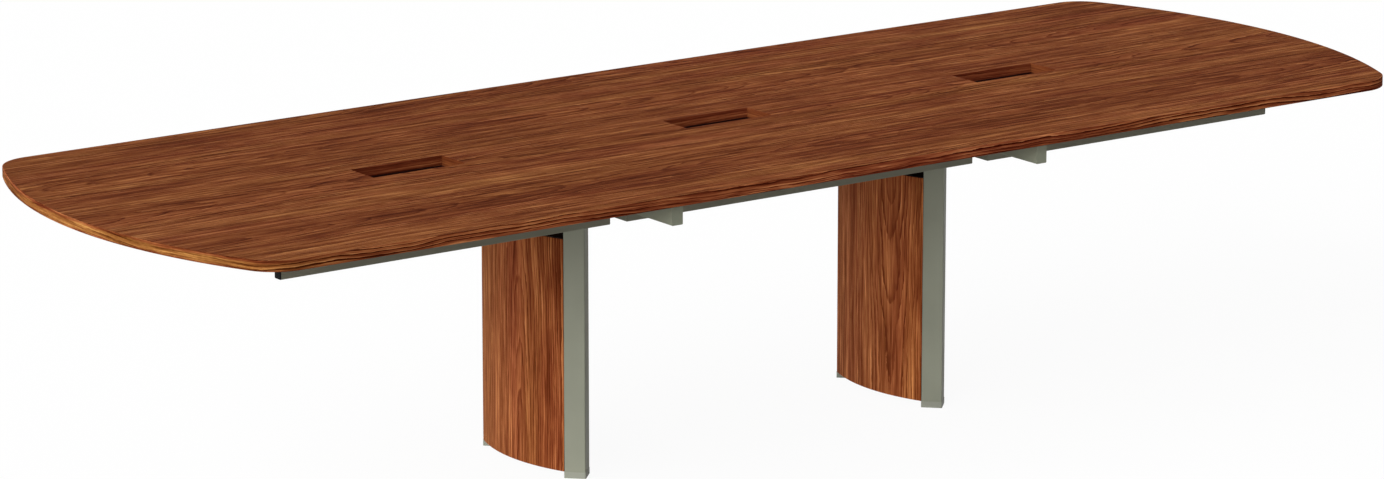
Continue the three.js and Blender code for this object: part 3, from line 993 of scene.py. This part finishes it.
def make_panel(arc):
    """One panel of bent board, drawn both ways from its middle and trimmed to the posts."""
    thickness = sizes().panel_thickness
    panel = start_point("panel", (arc.reach - thickness, 0, arc.low))
    pull(z=arc.high - arc.low)
    pull_all(x=thickness)
    select_all()
    spin(arc.steps, arc.half_turn, arc.centre, 0)
    select_mode("FACE")
    select(panel, "faces", lambda face: all(abs(v.co.y) < PLANE_TOLERANCE for v in face.verts))
    spin(arc.steps, -arc.half_turn, arc.centre, 0)
    offset = arc.half_diagonal - arc.post_y + sizes().panel_clearance * math.sqrt(2)
    for side in (-1, 1):
        select_all()
        bpy.ops.mesh.bisect(
            plane_co=(0, -side * offset, 0), plane_no=(-1, side, 0), use_fill=True,
            clear_outer=True,
        )
    turn_outwards()
    select_mode("EDGE")
    select(panel, "edges", sharp)
    bpy.ops.mesh.bevel(offset=sizes().arris, segments=2, affect="EDGES")
    return panel


def hang_panels(panel, arc):
    """Copies the panel to both sides of both pedestals, each with a leaf of its own."""
    finish_piece(panel, panel_veneer())
    panel.data.materials.append(painted_shade_backing())
    # Faces that look outwards by less than this share are the back and the edges, painted dark as
    # the shade inside the pedestals
    least_outwards = 0.3
    for face in panel.data.polygons:
        outwards = Vector((face.center.x - arc.centre, face.center.y, 0)).normalized()
        if face.normal.dot(outwards) < least_outwards:
            face.material_index = 1
    for (side, place), leaf in PANEL_LEAVES.items():
        pedestal = -SIDE_WAYS[side] * arc.pedestal
        turned = SIDE_WAYS[place]
        turn = Matrix.Diagonal((turned, turned, 1, 1))
        twin = copy_piece(
            panel, f"curved_panel_{side}_{place}", Matrix.Translation((pedestal, 0, 0)) @ turn,
        )

        def place_on_leaf(point, centre):
            angle = math.atan2(turned * point.y, turned * (point.x - pedestal) - arc.centre)
            return point.z + leaf[0], arc.radius * angle + leaf[1]

        lay_veneer(twin, place_on_leaf)
        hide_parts(f"panel_{side}_{place}")
    bpy.data.objects.remove(panel)


def plug_beams(material):
    """Plastic plugs in the four open ends of the beams, their flanges outside."""
    low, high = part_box("beam_left_front")
    width, wall, flange = sizes().beam_width, sizes().beam_wall, sizes().plug_flange
    corner = 1.5 * wall
    plug = start(
        "beam_plug", bpy.ops.mesh.primitive_cube_add, size=1,
        location=(low.x - flange / 2, low.y + width / 2, (low.z + high.z) / 2),
    )
    bpy.ops.transform.resize(value=(flange, width, high.z - low.z))
    select_mode("EDGE")
    select(plug, "edges", lambda edge: abs(edge.verts[0].co.x - edge.verts[1].co.x) > flange / 2)
    bpy.ops.mesh.bevel(offset=corner, segments=4, affect="EDGES")
    select_mode("FACE")
    select(plug, "faces", lambda face: face.normal.x > FACING)
    bpy.ops.mesh.inset(thickness=wall)
    pull(x=sizes().plug_depth)
    select(plug, "faces", lambda face: face.normal.x < -FACING)
    bpy.ops.mesh.bevel(offset=flange / 3, segments=3, affect="EDGES")
    finish_piece(plug, material)
    for side, way_x in SIDE_WAYS.items():
        for place, way_y in PLACE_WAYS.items():
            mirrored = Matrix.Diagonal((-way_x, -way_y, 1, 1))
            copy_piece(plug, f"beam_plug_{side}_{place}", mirrored)
    bpy.data.objects.remove(plug)


def make_screw(material):
    """A pan-head wood screw with a hexagon socket, its head downwards under a tab."""
    radius = sizes().screw_head
    height, socket_radius = 0.6 * radius, 0.45 * radius
    rounding = 0.6 * height
    screw = start(
        "wood_screw", bpy.ops.mesh.primitive_cylinder_add, vertices=24, radius=radius,
        depth=height, location=(0, 0, -height / 2),
    )
    select_mode("EDGE")
    select(screw, "edges", lambda edge: all(v.co.z < 0 for v in edge.verts))
    bpy.ops.mesh.bevel(offset=rounding, segments=4, affect="EDGES")
    bpy.ops.object.mode_set(mode="OBJECT")
    socket = start(
        "socket", bpy.ops.mesh.primitive_cylinder_add, vertices=6, radius=socket_radius,
        depth=height, location=(0, 0, -height),
    )
    carve(screw, socket)
    return finish_piece(screw, material)


def drive_screws(screw):
    """Copies the screw under the hole of every tab on the beams."""
    tab = sizes()
    for section in SECTIONS:
        for place, way in PLACE_WAYS.items():
            low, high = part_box(f"beam_{section}_{place}")
            inner = high.y if way < 0 else low.y
            y = inner + way * tab.tab_reach / 2
            first, last = low.x + tab.tab_inset, high.x - tab.tab_inset
            for number in range(TABS_PER_BEAM):
                x = first + (last - first) * number / (TABS_PER_BEAM - 1)
                move = Matrix.Translation((x, y, high.z - tab.tab_thickness))
                copy_piece(screw, f"wood_screw_{section}_{place}_{number + 1}", move)
    bpy.data.objects.remove(screw)


# Operators

class TABLE_OT_stage(bpy.types.Operator):
    """Adds the floor, the light and the camera"""

    bl_idname = "table.stage"
    bl_label = "Stage"

    def execute(self, context):
        stage = context.scene.table_stage
        add_floor(stage)
        light_room(context.scene, stage)
        add_camera(context.scene, stage)
        return {"FINISHED"}


class TABLE_OT_board(bpy.types.Operator):
    """Models the veneered board with its cut-outs"""

    bl_idname = "table.board"
    bl_label = "Board"

    def execute(self, context):
        make_board(Outline())
        return {"FINISHED"}


class TABLE_OT_edge_band(bpy.types.Operator):
    """Models the edge band and finishes the bands in the cut-outs"""

    bl_idname = "table.edge_band"
    bl_label = "Edge band"

    def execute(self, context):
        make_edge_band(Outline())
        paint(cutout_veneer(), "cutout_band_")
        make_shade_trims()
        return {"FINISHED"}


class TABLE_OT_panels(bpy.types.Operator):
    """Models the curved panels of both pedestals"""

    bl_idname = "table.panels"
    bl_label = "Curved panels"

    def execute(self, context):
        arc = PanelArc()
        hang_panels(make_panel(arc), arc)
        return {"FINISHED"}


class TABLE_OT_posts(bpy.types.Operator):
    """Paints the posts and their foot caps"""

    bl_idname = "table.posts"
    bl_label = "Posts"

    def execute(self, context):
        paint(satin_paint("paint_of_posts", metal().post), "post_")
        paint(satin_paint("paint_of_caps", metal().cap), "foot_cap_")
        return {"FINISHED"}


class TABLE_OT_frame(bpy.types.Operator):
    """Paints the steel frame under the top darker than the posts, painted shade; its cross-arms
    are lighter than the rest
    """

    bl_idname = "table.frame"
    bl_label = "Steel frame"

    def execute(self, context):
        # Darker copies of the posts' paint: painted shade under the top
        paint(satin_paint("paint_of_arms", metal().arm), "cross_arm_", "arm_plate_", "riser_")
        paint(
            satin_paint("paint_of_frame", metal().frame), "beam_", "joint_bar_", "cross_tube_",
            "head_plate_", "stretcher_", "spreader_",
        )
        return {"FINISHED"}


class TABLE_OT_fittings(bpy.types.Operator):
    """Adds the wood screws and the beam plugs, and finishes the bolts and the glides"""

    bl_idname = "table.fittings"
    bl_label = "Fittings"

    def execute(self, context):
        zinc, plastic = zinc_plate(), matt_plastic("black_plastic", metal().plastic)
        drive_screws(make_screw(zinc))
        plug_beams(plastic)
        paint(zinc, "bolt_")
        paint(plastic, "glide_")
        return {"FINISHED"}


# Stage

WHITE = (1, 1, 1, 1)


def add_floor(stage):
    """A wide floor that looks white to the camera and keeps a little of its shadow."""
    floor = start("floor", bpy.ops.mesh.primitive_plane_add, size=stage.floor_size)
    bpy.ops.object.mode_set(mode="OBJECT")
    graph = Graph("floor")
    camera_ray = graph.add("ShaderNodeLightPath").outputs["Is Camera Ray"]
    colour = graph.mix(camera_ray, stage.floor_bounce, stage.floor)
    diffuse = graph.add("ShaderNodeBsdfDiffuse", {"Color": colour})
    white = graph.add("ShaderNodeEmission", {"Color": WHITE, "Strength": 1.0})
    share = graph.times(graph.seen(), 1 - stage.shadow_share)
    blend = graph.add("ShaderNodeMixShader", {"Fac": share})
    graph.feed(blend.inputs[1], diffuse.outputs["BSDF"])
    graph.feed(blend.inputs[2], white.outputs["Emission"])
    floor.data.materials.append(graph.end(blend.outputs["Shader"]))


def light_room(scene, stage):
    """Even light from all round, a low soft key from the left and a fill from the left rear.

    The camera sees a white room, however weak its light is.
    """
    graph = Graph("room", bpy.data.worlds)
    strength = graph.between(graph.seen(), stage.sky_strength, 1.0)
    sky = graph.add("ShaderNodeBackground", {"Color": WHITE, "Strength": strength})
    scene.world = graph.end(sky.outputs["Background"], "ShaderNodeOutputWorld")
    add_sun(scene, "key", stage.key_strength, stage.key_direction, stage.spread)
    add_sun(scene, "fill", stage.fill_strength, stage.fill_direction, stage.spread)


def add_sun(scene, name, strength, direction, spread):
    sun = bpy.data.lights.new(name, "SUN")
    sun.energy = strength
    sun.angle = spread
    lamp = bpy.data.objects.new(name, sun)
    lamp.rotation_euler = direction
    scene.collection.objects.link(lamp)


def add_camera(scene, stage):
    lens = bpy.data.cameras.new("camera")
    lens.lens = stage.lens
    lens.sensor_width = 36
    lens.clip_end = stage.floor_size
    camera = bpy.data.objects.new("camera", lens)
    camera.location = stage.camera_place
    camera.rotation_euler = (stage.camera_tilt, 0, stage.camera_turn)
    scene.collection.objects.link(camera)
    scene.camera = camera
    scene.view_settings.view_transform = "Standard"


OPERATORS = (
    TABLE_OT_stage, TABLE_OT_board, TABLE_OT_edge_band, TABLE_OT_panels, TABLE_OT_posts,
    TABLE_OT_frame, TABLE_OT_fittings,
)


class TABLE_PT_table(bpy.types.Panel):
    """Lists the steps that build the table"""

    bl_idname = "TABLE_PT_table"
    bl_label = "Conference table"
    bl_space_type = "VIEW_3D"
    bl_region_type = "UI"
    bl_category = "Table"

    def draw(self, context):
        for operator in OPERATORS:
            self.layout.operator(operator.bl_idname)
        for group in GROUPS:
            box = self.layout.box()
            box.label(text=group)
            settings = getattr(context.scene, group)
            for name in settings.__annotations__:
                box.prop(settings, name)


GROUPS = {
    "table_sizes": TableSizes, "table_wood": TableWood, "table_metal": TableMetal,
    "table_stage": TableStage,
}


def register():
    for kind in (*GROUPS.values(), *OPERATORS, TABLE_PT_table):
        bpy.utils.register_class(kind)
    for name, group in GROUPS.items():
        setattr(bpy.types.Scene, name, bpy.props.PointerProperty(type=group))


def unregister():
    for name in GROUPS:
        delattr(bpy.types.Scene, name)
    for kind in (TABLE_PT_table, *reversed(OPERATORS), *GROUPS.values()):
        bpy.utils.unregister_class(kind)


def main():
    register()
    bpy.ops.table.stage()
    bpy.ops.table.board()
    bpy.ops.table.edge_band()
    bpy.ops.table.panels()
    bpy.ops.table.posts()
    bpy.ops.table.frame()
    bpy.ops.table.fittings()


if __name__ == "__main__":
    main()
